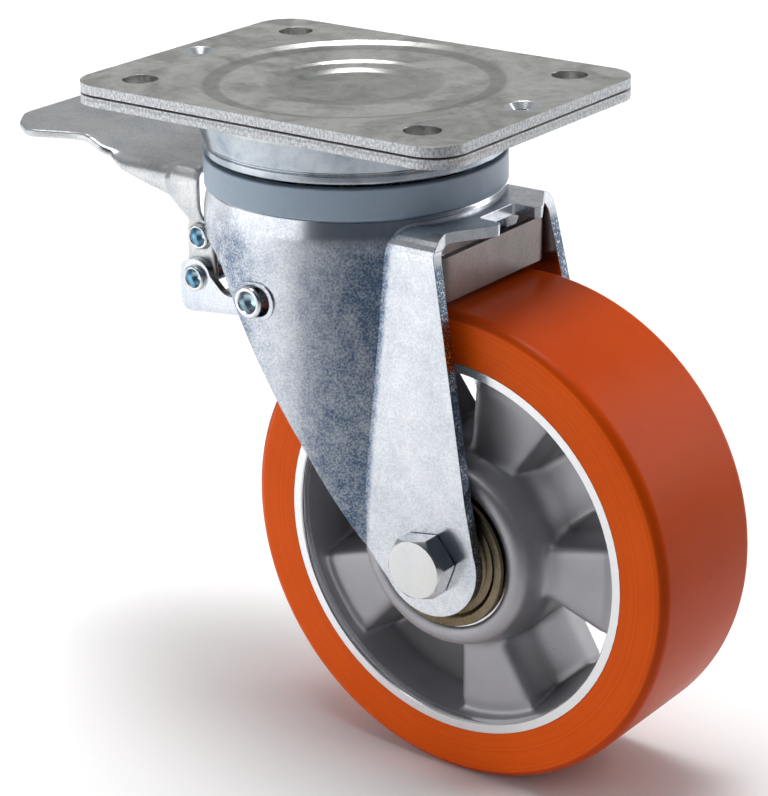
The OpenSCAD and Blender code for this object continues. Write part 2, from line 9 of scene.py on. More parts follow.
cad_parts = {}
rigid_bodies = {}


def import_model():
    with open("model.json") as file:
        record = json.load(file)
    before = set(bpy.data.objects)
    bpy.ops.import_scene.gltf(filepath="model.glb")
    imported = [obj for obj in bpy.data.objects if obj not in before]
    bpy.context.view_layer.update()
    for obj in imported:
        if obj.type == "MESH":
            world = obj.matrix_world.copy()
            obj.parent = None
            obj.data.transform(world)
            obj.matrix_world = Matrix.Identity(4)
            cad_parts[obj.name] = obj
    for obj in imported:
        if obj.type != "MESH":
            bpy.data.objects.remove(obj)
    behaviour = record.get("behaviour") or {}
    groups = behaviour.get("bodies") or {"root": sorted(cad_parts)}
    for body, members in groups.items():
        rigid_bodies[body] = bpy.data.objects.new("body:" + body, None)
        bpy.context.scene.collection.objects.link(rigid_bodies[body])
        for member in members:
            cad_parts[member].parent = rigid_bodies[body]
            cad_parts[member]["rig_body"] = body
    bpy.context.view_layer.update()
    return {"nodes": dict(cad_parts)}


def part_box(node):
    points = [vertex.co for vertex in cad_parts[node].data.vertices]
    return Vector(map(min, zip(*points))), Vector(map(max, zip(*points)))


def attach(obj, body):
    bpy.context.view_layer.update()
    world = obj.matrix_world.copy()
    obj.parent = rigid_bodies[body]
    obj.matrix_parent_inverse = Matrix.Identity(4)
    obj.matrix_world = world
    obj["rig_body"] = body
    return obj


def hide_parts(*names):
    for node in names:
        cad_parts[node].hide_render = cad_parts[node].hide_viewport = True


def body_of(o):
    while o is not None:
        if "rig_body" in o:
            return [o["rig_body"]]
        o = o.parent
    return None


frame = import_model()

bl_info = {
    "name": "Swivel castor",
    "version": (1, 0, 0),
    "blender": (4, 5, 0),
    "location": "3D View > Sidebar > Castor",
    "description": "Finishes and dresses the swivel castor and sets up its studio",
    "category": "Object",
}

MM = 0.001
NODES = frame["nodes"]
TREAD_LOW, TREAD_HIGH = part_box("tread")
AXLE = (TREAD_LOW + TREAD_HIGH) / 2
FLOOR_Z = TREAD_LOW.z
SEAM_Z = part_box("head_plate")[1].z
HOLE_X = 52.5
HOLE_Y = 37.5
LEG_CREASE_X = 39.2
LEG_CREASE_SLOPE = 0.0739
PEDAL_PIVOT = (-39.8, -49.8)
LINK_PIVOT = (-39.9, -62.4)
SLIDE_PIVOT = (-3.9, -58.4)
COLLAR = ((4.2, -6.6), (6.8, -6.6), (7.0, -6.4), (7.0, -5.6), (6.8, -5.4), (4.2, -5.4))
PHOTO_W = 768
PHOTO_H = 796


class Field:
    """A number or colour that varies over a surface. Arithmetic on it adds the nodes."""

    def __init__(self, finish, socket):
        self.finish = finish
        self.socket = socket

    def math(self, operation, other=0.0):
        return self.finish.node("ShaderNodeMath", {"operation": operation}, {0: self, 1: other})

    def __add__(self, other):
        return self.math("ADD", other)

    def __mul__(self, other):
        return self.math("MULTIPLY", other)

    def __sub__(self, other):
        return self.math("SUBTRACT", other)

    __radd__ = __add__
    __rmul__ = __mul__

    def __rsub__(self, other):
        return (self * -1.0) + other

    def __abs__(self):
        return self.math("ABSOLUTE")

    def root(self):
        return self.math("SQRT")

    def sine(self):
        return self.math("SINE")

    def step(self, low, high):
        """0 below low, 1 above high, smooth between. With low above high it falls instead."""
        if low > high:
            return 1.0 - self.step(high, low)
        settings = {"interpolation_type": "SMOOTHSTEP"}
        inputs = {0: self, 1: low, 2: high, 3: 0.0, 4: 1.0}
        return self.finish.node("ShaderNodeMapRange", settings, inputs)

    def band(self, low, high, soft):
        """1 between low and high, 0 outside, with soft edges."""
        return self.step(low - soft, low) * self.step(high + soft, high)


class Finish:
    """A material with its nodes. Object coordinates are the castor's own, in metres."""

    def __init__(self, name):
        self.material = bpy.data.materials.new(name)
        self.material.use_nodes = True
        self.tree = self.material.node_tree
        self.shader = self.tree.nodes["Principled BSDF"]
        self.place = self.node("ShaderNodeTexCoord", {}, {}, "Object")
        self.x = self.node("ShaderNodeSeparateXYZ", {}, {0: self.place}, "X")
        self.y = self.node("ShaderNodeSeparateXYZ", {}, {0: self.place}, "Y")
        self.z = self.node("ShaderNodeSeparateXYZ", {}, {0: self.place}, "Z")

    def node(self, kind, settings, inputs, output=0):
        """Adds a node, sets it up, feeds its inputs and returns one output as a Field."""
        made = self.tree.nodes.new(kind)
        for key, value in settings.items():
            setattr(made, key, value)
        for key, value in inputs.items():
            self.feed(made.inputs[key], value)
        return Field(self, made.outputs[output])

    def feed(self, socket, value):
        if isinstance(value, Field):
            self.tree.links.new(value.socket, socket)
        elif socket.type == "RGBA" and len(value) == 3:
            socket.default_value = (*value, 1.0)
        else:
            socket.default_value = value

    def set(self, **inputs):
        """Feeds the shader's inputs, named with underscores for spaces."""
        for key, value in inputs.items():
            self.feed(self.shader.inputs[key.replace("_", " ")], value)
        return self

    def noise(self, scale, detail=3.0, roughness=0.5, place=None, distortion=0.0):
        inputs = {
            "Vector": place or self.place, "Scale": scale, "Detail": detail,
            "Roughness": roughness, "Distortion": distortion,
        }
        return self.node("ShaderNodeTexNoise", {}, inputs)

    def stretched(self, x, y, z):
        """The place, scaled by a different amount along each axis."""
        return self.node("ShaderNodeMapping", {}, {0: self.place, "Scale": (x, y, z)})

    def mix(self, amount, first, second):
        settings = {"data_type": "RGBA"}
        return self.node("ShaderNodeMix", settings, {0: amount, 6: first, 7: second}, 2)

    def round_z(self):
        """Distance from the swivel axis."""
        return (self.x * self.x + self.y * self.y).root()

    def round_axle(self):
        """Distance from the wheel's axis."""
        across = self.x - AXLE.x
        up = self.z - AXLE.z
        return (across * across + up * up).root()

    def bump(self, height, strength, distance, edge=0.0):
        """Feeds a bump, over edges softened by a radius."""
        inputs = {"Strength": strength, "Distance": distance, "Height": height}
        if edge:
            inputs["Normal"] = self.node("ShaderNodeBevel", {"samples": 6}, {"Radius": edge})
        normal = self.node("ShaderNodeBump", {}, inputs)
        return self.set(Normal=normal)

    def on(self, *names):
        """Gives the finish to CAD nodes."""
        for name in names:
            mesh = NODES[name].data
            mesh.materials.clear()
            mesh.materials.append(self.material)
        return self


def rgb(colour):
    return tuple(colour)[:3]


def colour_prop(name, description, value):
    return FloatVectorProperty(
        name=name, description=description, default=value, subtype="COLOR", min=0.0, max=1.0
    )


def factor_prop(name, description, value):
    return FloatProperty(
        name=name, description=description, default=value, subtype="FACTOR", min=0.0, max=1.0
    )


def stand_for(piece, node):
    """The piece takes the CAD node's place and body."""
    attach(piece, body_of(NODES[node])[0])
    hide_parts(node)
    return piece


def only(piece):
    """Selects one object and makes it the active one."""
    bpy.ops.object.select_all(action="DESELECT")
    piece.select_set(True)
    bpy.context.view_layer.objects.active = piece


def own_copy(node, name):
    """A copy of a CAD node's mesh to work on, with its doubled points merged."""
    piece = bpy.data.objects.new(name, NODES[node].data.copy())
    bpy.context.scene.collection.objects.link(piece)
    only(piece)
    bpy.ops.object.mode_set(mode="EDIT")
    bpy.ops.mesh.select_all(action="SELECT")
    bpy.ops.mesh.remove_doubles(threshold=0.002 * MM)
    bpy.ops.object.mode_set(mode="OBJECT")
    return piece


def modify(piece, kind, **settings):
    """Adds a modifier, sets it up and applies it."""
    only(piece)
    added = piece.modifiers.new(kind.lower(), kind)
    for key, value in settings.items():
        setattr(added, key, value)
    bpy.ops.object.modifier_apply(modifier=added.name)
    return piece


def weigh(piece, name, amount):
    """A vertex group whose weight is what amount says of each point."""
    group = piece.vertex_groups.new(name=name)
    for point in piece.data.vertices:
        share = amount(point.co)
        if share > 0.0:
            group.add([point.index], min(share, 1.0), "REPLACE")
    return name


def ease(value, low, high):
    """0 at low, 1 at high, smooth between. Low may be above high."""
    share = min(max((value - low) / (high - low), 0.0), 1.0)
    return share * share * (3.0 - 2.0 * share)


def turned(name, profile, seat, facing, steps=48, fill="NGON"):
    """A piece turned on a lathe from (radius, height) pairs, stood at seat with its axis along facing."""
    radius, height = profile[0]
    bpy.ops.object.select_all(action="DESELECT")
    bpy.ops.mesh.primitive_circle_add(vertices=steps, radius=radius * MM, fill_type=fill)
    piece = bpy.context.object
    piece.name = name
    bpy.ops.object.mode_set(mode="EDIT")
    bpy.ops.mesh.select_all(action="SELECT")
    bpy.ops.transform.translate(value=(0.0, 0.0, height * MM))
    for next_radius, next_height in profile[1:]:
        move = {"value": (0.0, 0.0, (next_height - height) * MM)}
        bpy.ops.mesh.extrude_region_move(TRANSFORM_OT_translate=move)
        share = next_radius / radius
        bpy.ops.transform.resize(value=(share, share, 1.0), center_override=(0.0, 0.0, 0.0))
        radius, height = next_radius, next_height
    bpy.ops.mesh.select_all(action="SELECT")
    bpy.ops.mesh.normals_make_consistent(inside=False)
    bpy.ops.object.mode_set(mode="OBJECT")
    piece.rotation_euler = Vector(facing).to_track_quat("Z", "Y").to_euler()
    piece.location = Vector(seat) * MM
    bpy.ops.object.transform_apply(location=True, rotation=True, scale=True)
    bpy.ops.object.shade_smooth_by_angle(angle=math.radians(32.0))
    return piece


def joined(pieces, name):
    """The pieces as one object."""
    bpy.ops.object.select_all(action="DESELECT")
    for piece in pieces:
        piece.select_set(True)
    bpy.context.view_layer.objects.active = pieces[0]
    bpy.ops.object.join()
    pieces[0].name = name
    return pieces[0]


class CastorFinishes(bpy.types.PropertyGroup):
    """Colours and gloss of the castor's finishes."""

    plate: colour_prop("Plate", "Matt zinc of the plates", (0.72, 0.72, 0.70))
    sheet: colour_prop("Sheet", "Bright zinc of the fork and the brake", (0.74, 0.76, 0.79))
    # The blue cast also colours the painted shade on the fork's hood.
    sheet_blue_and_shade: colour_prop("Blue cast", "Blue cast of the passivated zinc", (0.09, 0.14, 0.23))
    rivet: colour_prop("Rivet", "Zinc of the hollow rivets", (0.62, 0.84, 0.96))
    bolt: colour_prop("Bolt", "Bright zinc of the axle bolt", (0.72, 0.71, 0.69))
    seal: colour_prop("Seal", "Plastic of the seal ring", (0.32, 0.40, 0.50))
    core: colour_prop("Core", "Cast aluminium of the core", (0.35, 0.345, 0.37))
    lip: colour_prop("Lip", "Machined aluminium of the rim", (0.86, 0.86, 0.87))
    tread: colour_prop("Tread", "Polyurethane of the tread", (0.86, 0.105, 0.004))
    cap: colour_prop("Cap", "Yellow zinc of the dust caps", (0.11, 0.08, 0.045))
    tread_gloss: factor_prop("Tread roughness", "Roughness of the tread", 0.34)


class CastorStudio(bpy.types.PropertyGroup):
    """Camera and light of the studio."""

    azimuth: FloatProperty(
        name="Azimuth", description="Turn of the camera about the swivel axis",
        default=math.radians(37.238), subtype="ANGLE",
    )
    elevation: FloatProperty(
        name="Elevation", description="Height of the camera over the horizon",
        default=math.radians(21.448), subtype="ANGLE",
    )
    roll: FloatProperty(
        name="Roll", description="Turn of the camera about its own axis",
        default=math.radians(-0.989), subtype="ANGLE",
    )
    distance: FloatProperty(
        name="Distance", description="From the camera to what it looks at",
        default=0.8253, unit="LENGTH",
    )
    aside: FloatProperty(
        name="Aside", description="How far right of the swivel axis the camera looks",
        default=0.00635, unit="LENGTH",
    )
    height: FloatProperty(
        name="Height", description="Height that the camera looks at",
        default=-0.1082, unit="LENGTH",
    )
    focal_px: FloatProperty(
        name="Focal length", description="Focal length in pixels of the photograph", default=2617.1,
    )
    centre_px: FloatVectorProperty(
        name="Centre", description="Pixel of the photograph on the camera's axis",
        size=2, default=(381.4, 411.9),
    )
    floor: colour_prop("Floor", "Colour of the floor", (0.92, 0.92, 0.92))
    front: colour_prop("Front", "Light of the room on the camera's side", (0.03, 0.045, 0.065))
    back: colour_prop("Back", "Light of the room behind the castor", (0.46, 0.46, 0.46))
    ceiling: FloatProperty(
        name="Ceiling box", description="Power of the softbox overhead", default=80.0, unit="POWER",
    )
    left: FloatProperty(
        name="Left box", description="Power of the left softbox", default=3.2, unit="POWER",
    )
    right: FloatProperty(
        name="Right box", description="Power of the right softbox", default=3.0, unit="POWER",
    )


class CastorPieces(bpy.types.Operator):
    """Base of the operators that finish the castor."""

    bl_options = {"REGISTER", "UNDO"}

    def execute(self, context):
        self.make(context.scene.castor_finishes)
        return {"FINISHED"}


def zinc(name, light, dark, roughness, edge=0.35 * MM, along=(1.0, 1.0, 0.4), speckle=0.5):
    """Zinc-plated sheet: bluish clouds, a fine speckle and faint drawing marks."""
    finish = Finish(name)
    drawn = finish.stretched(*along)
    clouds = finish.noise(45.0, 4.0, 0.6, drawn, 0.8)
    spots = finish.noise(260.0, 3.0, 0.6)
    grain = finish.noise(1500.0, 2.0, 0.7)
    stain = clouds.step(0.34, 0.72) * 0.42 + spots.step(0.45, 0.75) * 0.14
    stain = stain + grain.step(0.35, 0.65) * speckle * 0.5
    finish.set(Base_Color=finish.mix(stain, light, dark), Metallic=1.0)
    finish.set(Roughness=clouds * 0.10 + spots * 0.08 + grain * 0.10 + (roughness - 0.14))
    return finish.bump(clouds * 0.5 + spots * 0.2 + grain * 0.16 * speckle, 0.4, 0.08 * MM, edge)


class CASTOR_OT_plates(CastorPieces):
    """Finish the plates"""

    bl_idname = "castor.plates"
    bl_label = "Plates"

    def make(self, looks):
        for name in ("top_plate", "head_plate"):
            self.plate(looks, name)

    def corner(self, finish):
        """Distance from the nearest of the four bolt holes' axes."""
        across = abs(finish.x) - HOLE_X * MM
        along = abs(finish.y) - HOLE_Y * MM
        return (across * across + along * along).root()

    def plate(self, looks, node):
        """Matt zinc with grey clouds, painted shade on the pressed rings and in the seam between the plates,
        turning marks and rough sheared edges.
        """
        finish = Finish(node + "_zinc")
        clouds = finish.noise(38.0, 4.0, 0.6, distortion=1.2)
        spots = finish.noise(240.0, 3.0, 0.6)
        grain = finish.noise(1700.0, 2.0, 0.7)
        stain = clouds.step(0.36, 0.66) * 0.6 + spots.step(0.45, 0.7) * 0.25
        stain = stain + grain.step(0.4, 0.7) * 0.15
        face = finish.mix(stain, rgb(looks.plate), (0.26, 0.27, 0.26))
        upright = finish.node("ShaderNodeNewGeometry", {}, {}, "Normal")
        upward = abs(finish.node("ShaderNodeSeparateXYZ", {}, {0: upright}, "Z"))
        around = finish.round_z()
        outside = around.step(46.0 * MM, 48.0 * MM)
        top = finish.z.step(-5.0 * MM, -4.0 * MM)
        wall = finish.z.step(-7.6 * MM, -9.0 * MM)
        # Painted shade: darker inside the inner step and a dark ring along the recess's outer slope, on the
        # top faces.
        pressed = around.step(27.5 * MM, 25.5 * MM) * 0.35
        pressed = pressed + around.band(41.5 * MM, 45.0 * MM, 1.5 * MM) * 0.5
        face = finish.mix(pressed * top, face, (0.16, 0.17, 0.16))
        face = finish.mix(wall, face, finish.mix(stain, (0.50, 0.54, 0.58), (0.20, 0.25, 0.31)))
        from_hole = self.corner(finish)
        sheared = upward.step(0.7, 0.4) * outside * from_hole.step(6.5 * MM, 7.0 * MM)
        sheared = sheared * finish.z.step(-7.6 * MM, -7.2 * MM)
        # Painted shade in the seam between the two plates: a dark band on the sheared edge where they meet.
        seam_shade = finish.z.band(SEAM_Z - 0.25 * MM, SEAM_Z + 0.25 * MM, 0.15 * MM)
        tear = finish.noise(1500.0, 3.0, 0.7, finish.stretched(1.0, 1.0, 0.6))
        edge = finish.mix(tear.step(0.3, 0.7), (0.36, 0.37, 0.39), (0.80, 0.82, 0.84))
        edge = finish.mix(seam_shade, edge, (0.04, 0.04, 0.05))
        finish.set(Base_Color=finish.mix(sheared, face, edge))
        finish.set(Metallic=1.0 - sheared * 0.5)
        dull = clouds * 0.14 + grain * 0.1 + 0.2
        finish.set(Roughness=dull * (1.0 - sheared - wall * 0.4) + sheared * 0.46)
        turning = (around * (2.0 * math.pi / (1.9 * MM))).sine()
        dish = around.step(44.0 * MM, 40.0 * MM) * (1.0 - sheared)
        height = clouds * 0.6 + spots * 0.3 + grain * 0.06 + turning * dish * 0.12
        height = height * (1.0 - sheared) + tear * sheared * 3.0
        steps = around.step(40.0 * MM, 49.0 * MM) * 8.0 + around.step(22.0 * MM, 29.0 * MM) * 5.0
        steps = steps + around.step(14.5 * MM, 20.5 * MM) * 6.0
        finish.bump(height + steps * top, 0.5, 0.12 * MM, 0.4 * MM)
        finish.on(node)


class CASTOR_OT_head(CastorPieces):
    """Finish the inner pieces of the swivel head"""

    bl_idname = "castor.head"
    bl_label = "Swivel head"

    def make(self, looks):
        oiled = Finish("oiled_steel")
        film = oiled.noise(120.0, 4.0)
        oiled.set(Base_Color=oiled.mix(film, (0.16, 0.15, 0.14), (0.30, 0.29, 0.28)), Metallic=1.0)
        oiled.set(Roughness=film * 0.3 + 0.2)
        oiled.on("kingpin", "kingpin_nut", "lower_race", "lock_ring", "axle_tube", "brake_shoe", "lock_pawl")
        ball = Finish("ball_steel")
        smear = ball.noise(300.0, 2.0)
        ball.set(Base_Color=(0.72, 0.72, 0.72), Metallic=1.0, Roughness=smear * 0.15 + 0.06)
        ball.on("upper_balls", "lower_balls", "bearing_balls", "bearing_inner_rings", "bearing_outer_rings")
        brass = Finish("cage_brass")
        stain = brass.noise(90.0, 3.0)
        brass.set(Base_Color=brass.mix(stain, (0.42, 0.29, 0.10), (0.60, 0.46, 0.20)), Metallic=1.0)
        brass.set(Roughness=stain * 0.2 + 0.3)
        brass.on("upper_cage", "lower_cage", "bearing_cages")
        seal = Finish("seal_plastic")
        lathe = (seal.z * (2.0 * math.pi / (0.5 * MM))).sine()
        dust = seal.noise(400.0, 3.0)
        seal.set(Base_Color=seal.mix(dust, rgb(looks.seal), (0.38, 0.47, 0.57)), Roughness=dust * 0.2 + 0.32)
        seal.bump(lathe * 0.3 + dust * 0.4, 0.3, 0.02 * MM, 0.3 * MM)
        seal.on("seal_ring")


class CASTOR_OT_fork(CastorPieces):
    """Finish the fork and the brake's pressed sheets"""

    bl_idname = "castor.fork"
    bl_label = "Fork and brake"

    def make(self, looks):
        sheet = zinc("sheet_zinc", rgb(looks.sheet), (0.36, 0.44, 0.54), 0.20, speckle=0.8)
        sheet.on("pedal_hanger", "link_bracket")
        self.pressed(looks).on("fork")
        pedal = zinc("pedal_zinc", (0.66, 0.66, 0.65), (0.30, 0.34, 0.40), 0.33, 0.0, speckle=0.7)
        # The bow is painted dark as painted shade, with a reddish cast as a painted reflection of the tread.
        bow = zinc("bow_shaded_zinc", (0.26, 0.22, 0.21), (0.13, 0.12, 0.12), 0.34, speckle=0.6)
        bow.on("brake_bow")
        self.bulge(pedal)

    def pressed(self, looks):
        """The fork's zinc: smooth down the legs, duller and with painted blue shade on the hood where the
        legs begin, painted shade on the hood's leading flank and on the legs' trailing edges.
        """
        fork = Finish("fork_zinc")
        clouds = fork.noise(60.0, 4.0, 0.62, fork.stretched(1.0, 1.0, 0.5), 0.8)
        spots = fork.noise(210.0, 4.0, 0.65)
        grain = fork.noise(1500.0, 2.0, 0.7)
        before_leg = fork.x - (fork.z * LEG_CREASE_SLOPE + LEG_CREASE_X * MM)
        below = fork.z.step(-30.0 * MM, -44.0 * MM)
        # Painted shade: a dark blue band on the hood just before each leg, which is also made duller there.
        dull = before_leg.step(-34.0 * MM, -4.0 * MM) * before_leg.step(1.2 * MM, -1.2 * MM) * below
        # Painted shade darkening the hood's leading flank.
        flank = fork.x.step(12.0 * MM, -14.0 * MM) * below
        fine = clouds.step(0.30, 0.75) * 0.3 + spots.step(0.35, 0.70) * 0.25
        fine = fine + grain.step(0.35, 0.65) * 0.45
        # Random zinc stains together with the painted shade of the band and the flank.
        stain = dull * (fine * 0.50 + 0.36) + flank * (fine * 0.60 + 0.20) + fine * 0.45
        colour = fork.mix(stain, rgb(looks.sheet), rgb(looks.sheet_blue_and_shade))
        # The legs' trailing edges: torn sheared texture with white specks, painted dark blue as painted
        # shade.
        facing = fork.node("ShaderNodeTexCoord", {}, {}, "Normal")
        front = fork.node("ShaderNodeSeparateXYZ", {}, {0: facing}, "X").step(0.75, 0.9)
        front = front * fork.z.step(-40.0 * MM, -44.0 * MM) * fork.x.step(36.0 * MM, 40.0 * MM)
        torn_edge_and_shade = fork.mix(grain.step(0.5, 0.68), (0.12, 0.17, 0.24), (0.86, 0.90, 0.94))
        fork.set(Base_Color=fork.mix(front, colour, torn_edge_and_shade), Metallic=1.0)
        fork.set(Roughness=clouds * 0.10 + spots * 0.08 + grain * 0.10 + dull * 0.1 + 0.08)
        return fork.bump(clouds * 0.5 + spots * 0.2 + grain * 0.13, 0.4, 0.08 * MM, 0.35 * MM)

    def bulge(self, finish):
        """The pedal with the raised pocket that its cheeks and web have round the pivot."""
        pedal = own_copy("pedal", "pedal_pressed")
        modify(pedal, "REMESH", mode="VOXEL", voxel_size=0.6 * MM)
        modify(pedal, "SMOOTH", factor=0.5, iterations=14)

        def pocket(at):
            behind = ease(at.x, -54.0 * MM, -49.5 * MM)
            return behind * ease(at.z, -46.0 * MM, -41.0 * MM)

        near = weigh(pedal, "near", lambda at: pocket(at) * ease(at.y, -20.0 * MM, -25.0 * MM))
        far = weigh(pedal, "far", lambda at: pocket(at) * ease(at.y, 20.0 * MM, 25.0 * MM))
        over = weigh(pedal, "over", lambda at: pocket(at) * ease(abs(at.y), 18.0 * MM, 23.0 * MM))
        closer = weigh(
            pedal,
            "closer",
            lambda at: ease(at.x, -47.0 * MM, -42.0 * MM) * ease(at.z, -48.0 * MM, -44.0 * MM),
        )
        rises = ((near, "Y", -1.3), (far, "Y", 1.3), (over, "Z", 1.0), (closer, "X", 1.2))
        for group, direction, rise in rises:
            modify(
                pedal, "DISPLACE", vertex_group=group, direction=direction, mid_level=0.0, strength=rise * MM
            )
        only(pedal)
        bpy.ops.object.shade_smooth()
        pedal.data.materials.clear()
        pedal.data.materials.append(finish.material)
        stand_for(pedal, "pedal")


class CASTOR_OT_rivets(CastorPieces):
    """Turn the hollow rivets of the brake and finish those of the plates"""

    bl_idname = "castor.rivets"
    bl_label = "Rivets"

    def away_from_axes(self, finish):
        """Distance from the nearest of the brake's three cross axes."""
        nearest = None
        for x, z in (PEDAL_PIVOT, LINK_PIVOT, SLIDE_PIVOT):
            across = finish.x - x * MM
            up = finish.z - z * MM
            distance = (across * across + up * up).root()
            nearest = distance if nearest is None else nearest.math("MINIMUM", distance)
        return nearest

    def rivet(self, name, at, seat, back, head=4.1, bore=2.85, collar=()):
        """One end of a hollow rivet, its lip rolled over, from seat outwards."""
        profile = [
            (head - 0.7, back), *collar, (head - 0.7, 0.0), (head - 0.05, 0.0), (head, 0.4),
            (head - 0.05, 0.9), (head - 0.3, 1.3), (head - 0.7, 1.5),
            (bore + 0.25, 1.45), (bore, 1.1), (bore - 0.05, -1.2),
            (bore * 0.7, -2.2), (bore * 0.35, -2.6), (0.05, -2.7),
        ]
        ends = []
        for side in (-1.0, 1.0):
            foot = (at[0], side * seat, at[1])
            ends.append(turned("end", profile, foot, (0.0, side, 0.0), 40))
        return joined(ends, name)

    def make(self, looks):
        bright = zinc("rivet_bright", (0.80, 0.82, 0.84), (0.46, 0.52, 0.58), 0.20, 0.0)
        finish = Finish("rivet_zinc")
        spots = finish.noise(500.0, 3.0)
        away = self.away_from_axes(finish)
        blued = away.step(2.95 * MM, 2.75 * MM)
        bare = finish.mix(spots, (0.60, 0.63, 0.66), (0.86, 0.87, 0.88))
        finish.set(Base_Color=finish.mix(blued, bare, rgb(looks.rivet)))
        finish.set(Metallic=1.0, Roughness=spots * 0.2 + 0.14)
        finish.bump(spots, 0.2, 0.04 * MM)
        rivets = {
            "pedal_pin": self.rivet("pedal_rivet", PEDAL_PIVOT, 27.9, -27.9),
            "link_pin": self.rivet("link_rivet", LINK_PIVOT, 30.6, -30.6),
            "slide_pins": self.rivet("slide_rivets", SLIDE_PIVOT, 47.8, -22.3, 4.9, 3.3, COLLAR),
        }
        for node, piece in rivets.items():
            piece.data.materials.clear()
            piece.data.materials.append(finish.material)
            stand_for(piece, node)
        bright.on("plate_rivets")


class CASTOR_OT_axle(CastorPieces):
    """Finish the axle bolt, its nut and the dust caps"""

    bl_idname = "castor.axle"
    bl_label = "Axle"

    def make(self, looks):
        bolt = zinc("bolt_zinc", rgb(looks.bolt), (0.50, 0.55, 0.60), 0.22, 0.0)
        for node, name in (("axle_bolt", "bolt_rounded"), ("axle_nut", "nut_rounded")):
            piece = own_copy(node, name)
            modify(
                piece, "BEVEL", width=0.35 * MM, segments=3, limit_method="ANGLE",
                angle_limit=math.radians(24.0), use_clamp_overlap=True,
            )
            only(piece)
            bpy.ops.object.shade_smooth_by_angle(angle=math.radians(24.0))
            piece.data.materials.clear()
            piece.data.materials.append(bolt.material)
            stand_for(piece, node)
        cap = zinc("cap_zinc", rgb(looks.cap), (0.30, 0.25, 0.17), 0.30, 0.2 * MM)
        cap.on("dust_cap_near", "dust_cap_far")
        rubber = Finish("shield_rubber")
        rubber.set(Base_Color=(0.015, 0.015, 0.016), Roughness=rubber.noise(500.0) * 0.3 + 0.4)
        rubber.on("bearing_shields")


class CASTOR_OT_wheel(CastorPieces):
    """Finish the cast core and the tread"""

    bl_idname = "castor.wheel"
    bl_label = "Wheel"

    def make(self, looks):
        core = Finish("cast_core")
        radius = core.round_axle()
        machined = radius.step(56.3 * MM, 56.7 * MM) * abs(core.y).step(21.8 * MM, 22.4 * MM)
        sand = core.noise(900.0, 4.0, 0.6)
        clouds = core.noise(70.0, 3.0)
        cast = core.mix(clouds, rgb(looks.core), (0.46, 0.455, 0.48))
        # Painted shade in the pockets between the spokes: the cast colour darkens towards the core's middle
        # plane.
        cast = core.mix(abs(core.y).step(13.0 * MM, 7.0 * MM) * 0.6, cast, (0.16, 0.158, 0.17))
        core.set(Base_Color=core.mix(machined, cast, rgb(looks.lip)), Metallic=0.85)
        core.set(Roughness=machined * -0.28 + (sand * 0.12 + 0.42))
        core.bump((sand + clouds) * (1.0 - machined), 0.5, 0.12 * MM)
        cast = own_copy("wheel_core", "cast_wheel_core")
        modify(cast, "REMESH", mode="VOXEL", voxel_size=0.96 * MM)

        def inside(at):
            reach = math.hypot(at.x - AXLE.x, at.z - AXLE.z)
            return 0.03 + 0.97 * ease(reach, 55.0 * MM, 51.5 * MM) * ease(reach, 22.0 * MM, 26.0 * MM)

        modify(cast, "SMOOTH", factor=0.5, iterations=24, vertex_group=weigh(cast, "soft", inside))
        modify(cast, "DISPLACE", vertex_group="soft", direction="NORMAL", mid_level=0.0, strength=0.9 * MM)
        only(cast)
        bpy.ops.object.shade_smooth()
        rings = []
        for side in (-1.0, 1.0):
            face = (TREAD_HIGH.y - TREAD_LOW.y) / 2 / MM + 0.03
            profile = [
                (56.9, face - 4.0), (57.0, face - 0.4), (57.3, face), (59.9, face), (59.95, face - 3.0),
            ]
            rings.append(turned("lip", profile, AXLE / MM, (0.0, side, 0.0), 160, "NOTHING"))
        cast = joined([cast, *rings], "cast_wheel_core")
        cast.data.materials.clear()
        cast.data.materials.append(core.material)
        stand_for(cast, "wheel_core")
        tread = Finish("tread_polyurethane")
        radius = tread.round_axle()
        side = abs(tread.y).step(24.4 * MM, 24.9 * MM)
        turning = (radius * (2.0 * math.pi / (0.55 * MM))).sine()
        clouds = tread.noise(60.0, 3.0)
        rubbed = tread.noise(14.0, 4.0)
        # Painted shade: the rolling face is a darker copy of the flank's polyurethane colour.
        rolling = tread.mix(clouds, (0.50, 0.052, 0.002), (0.60, 0.068, 0.003))
        along_radius = tread.node("ShaderNodeCombineXYZ", {}, {0: radius * 1400.0})
        turned_face = tread.noise(1.0, 4.0, 0.7, along_radius)
        flank = tread.mix(clouds, rgb(looks.tread), (0.92, 0.13, 0.006))
        flank = tread.mix(turned_face.step(0.4, 0.7) * 0.5, flank, (0.62, 0.055, 0.002))
        colour = tread.mix(side, rolling, flank)
        # Painted light: the rounded shoulder of the rolling face gets a brighter, more saturated orange-red
        # band.
        shoulder = abs(tread.y).band(22.6 * MM, 24.6 * MM, 1.2 * MM) * radius.step(74.0 * MM, 77.0 * MM)
        colour = tread.mix(shoulder * 0.8, colour, (0.95, 0.075, 0.001))
        tread.set(Base_Color=colour, Roughness=rubbed * 0.14 + (looks.tread_gloss - 0.05))
        tread.set(Specular_IOR_Level=0.09, Subsurface_Weight=0.05)
        tread.set(Subsurface_Scale=2.0 * MM, Subsurface_Radius=(1.0, 0.3, 0.1))
        tread.bump((turning * 0.3 + turned_face) * side + clouds * 0.4, 0.35, 0.05 * MM, 0.4 * MM)
        tread.on("tread")


def add_light(name, size, power, at, look_at, colour=(1.0, 1.0, 1.0)):
    """A rectangular softbox that faces a point."""
    lamp = bpy.data.lights.new(name, "AREA")
    lamp.shape = "RECTANGLE"
    lamp.size, lamp.size_y = size
    lamp.energy = power
    lamp.color = colour
    lit = bpy.data.objects.new(name, lamp)
    lit.location = at
    lit.rotation_euler = (Vector(look_at) - Vector(at)).to_track_quat("-Z", "Y").to_euler()
    bpy.context.scene.collection.objects.link(lit)
    return lit


